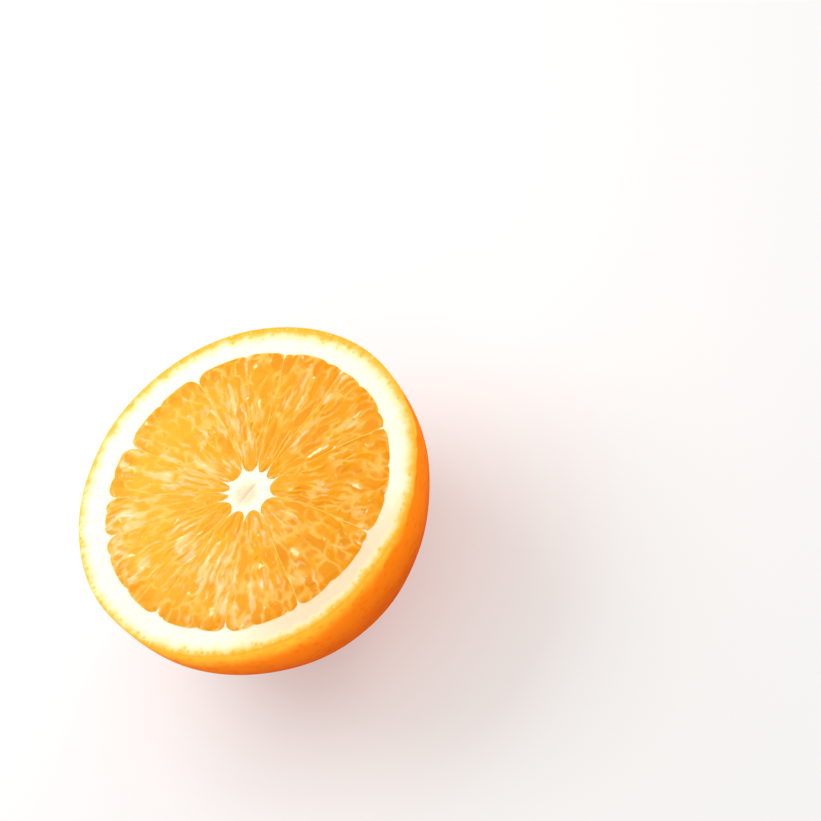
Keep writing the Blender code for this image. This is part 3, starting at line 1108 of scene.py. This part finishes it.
def make_membrane(index, material):
    """One thin wall between two segments, from the core to the rind and down to the bed."""
    rows, levels = 90, 8
    outward = np.linspace(-0.02, 1.03, rows)
    line = on_face(index, np.zeros_like(outward), outward)
    along = line[:, :2] / from_axis(line)[:, None]
    side = np.stack([-along[:, 1], along[:, 0], np.zeros(rows)], axis=-1)
    half = membrane_half_width(outward) * (1 + 0.15 * noise_at(line, 0.0015))
    height = flesh_height(outward) + MEMBRANE_RELIEF * (1 + noise_at(line, 0.0011, 3.0))
    height = height - MEMBRANE_TUCK * smooth_step((np.abs(outward - 0.5) - 0.49) / 0.02)
    deep = np.sqrt(np.clip(BED_RADIUS ** 2 - from_axis(line) ** 2, 0, None))
    drops = 1 - np.cos(np.linspace(0, 1, levels) * math.pi / 2)
    walls = [line + side * (sign * half)[:, None] for sign in (-1, 1)]
    points = np.concatenate([at_height(wall, height - deep * drop) for wall in walls for drop in drops])
    block = rows * levels
    border = grid_border(levels, rows)
    following = np.roll(border, -1)
    faces = grid_faces(levels, rows) + grid_faces(levels, rows, block)
    faces += np.stack([border, following, following + block, border + block], axis=-1).tolist()
    stored = {"outward": np.tile(outward, 2 * levels)}
    membrane = solid_from(f"membrane_{index + 1:02d}", points, faces, stored)
    membrane.data.materials.append(material)
    return membrane


def make_glands(material):
    """Cut oil glands, as low beads set along the rind's edge."""
    rng = np.random.default_rng(11)
    angle = (np.arange(GLANDS) + rng.uniform(-0.4, 0.4, GLANDS)) * 2 * math.pi / GLANDS
    inset = rng.uniform(*GLAND_INSET, GLANDS)
    radius = from_axis(skin_points(angle, np.ones(GLANDS)))
    places = at_height(spread(angle) * (radius - inset)[:, None], CUT_HEIGHT - GLAND_SINK)
    mesh = bpy.data.meshes.new("gland_beads")
    mesh.from_pydata(places.tolist(), [], [])
    values = {"Bead Radius": GLAND_RADIUS, "Flatness": 0.25, "Seed": 5}
    return finish_with(put_in_scene(mesh.name, mesh), bead_tree(material), values)


def make_scar(material):
    """The small dry scar in the middle of the flat spot."""
    lines = spread(angles_round(48))
    rings = []
    for share, height in SCAR_PROFILE:
        wobble = 1 + 0.08 * noise_at(lines * 3, 1.0, share)
        ring = lines * (SCAR_RADIUS * share * wobble)[:, None]
        rings.append(at_height(ring, SCAR_DEPTH * height + SCAR_RELIEF * noise_at(ring, 0.0006)))
    scar = turned_solid("scar", np.array(rings))
    scar.data.materials.append(material)
    return scar


def add_piece(obj):
    """The piece rides on the one body and stands for the solid, whose part is hidden."""
    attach(obj, BODY)
    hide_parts(NODE)


# The studio


def make_floor():
    mesh = bpy.data.meshes.new("floor")
    bm = bmesh.new()
    bmesh.ops.create_grid(bm, x_segments=1, y_segments=1, size=3.0)
    bm.to_mesh(mesh)
    bm.free()
    mesh.materials.append(floor_material())
    put_in_scene("floor", mesh)


def add_softbox(name, place, size, power, colour=(1.0, 1.0, 1.0)):
    """A square soft light that faces the fruit."""
    light = bpy.data.lights.new(name, "AREA")
    light.shape = "SQUARE"
    light.size = size
    light.energy = power
    light.color = colour
    obj = put_in_scene(name, light)
    obj.location = place
    facing = Vector((0.0, 0.0, CUT_HEIGHT)) - Vector(place)
    obj.rotation_euler = facing.to_track_quat("-Z", "Y").to_euler()


def make_world():
    world = bpy.data.worlds.new("soft room")
    world.use_nodes = True
    background = world.node_tree.nodes["Background"]
    background.inputs["Color"].default_value = (1.0, 1.0, 1.0, 1.0)
    background.inputs["Strength"].default_value = 0.6
    bpy.context.scene.world = world


def make_camera():
    """The camera stands at the photo's angle and turns so that the face lies where it does there."""
    pixels_per_unit = PHOTO_SIZE * LENS / SENSOR
    distance = pixels_per_unit * FRUIT_RADIUS / FACE_RADIUS_PIXELS
    tilt, roll = math.radians(CAMERA_ELEVATION), math.radians(CAMERA_ROLL)
    back = Vector((0.0, -math.cos(tilt), math.sin(tilt)))
    level_right = Vector((1.0, 0.0, 0.0))
    level_up = back.cross(level_right)
    right = level_right * math.cos(roll) - level_up * math.sin(roll)
    up = level_right * math.sin(roll) + level_up * math.cos(roll)
    turned = Matrix((right, up, back)).transposed()
    from_middle = [pixel - PHOTO_SIZE / 2 for pixel in FACE_PIXEL]
    yaw = Matrix.Rotation(math.atan(from_middle[0] / pixels_per_unit), 3, "Y")
    pitch = Matrix.Rotation(math.atan(from_middle[1] / pixels_per_unit), 3, "X")
    data = bpy.data.cameras.new("camera")
    data.lens = LENS
    data.sensor_width = SENSOR
    data.clip_start, data.clip_end = 0.01, 10.0
    camera = put_in_scene("camera", data)
    place = Vector((0.0, 0.0, CUT_HEIGHT)) + back * distance
    camera.matrix_world = Matrix.Translation(place) @ (turned @ yaw @ pitch).to_4x4()
    bpy.context.scene.camera = camera


def make_studio():
    make_world()
    make_floor()
    add_softbox("key", (-0.06, 0.175, 0.21), 0.25, 0.6)
    add_softbox("fill", (-0.3, -0.88, 0.35), 0.8, 3.9, (1.0, 0.95, 0.88))
    add_softbox("side", (0.86, 0.1, 0.3), 0.5, 3.4, (1.0, 0.9, 0.8))
    make_camera()
    bpy.context.scene.view_settings.view_transform = "Standard"


def make_fruit():
    mottles, glands = mottle_group(), gland_group()
    add_piece(make_peel(skin_material(mottles, glands)))
    add_piece(make_pith(pith_material(mottles, glands)))
    membrane = membrane_material(mottles)
    sacs = sac_tree(flesh_material(mottles))
    for number in range(SEGMENTS):
        add_piece(make_membrane(number, membrane))
        add_piece(make_segment(number, sacs))
    add_piece(make_glands(gland_material(mottles)))
    add_piece(make_scar(scar_material(mottles)))


make_fruit()
make_studio()
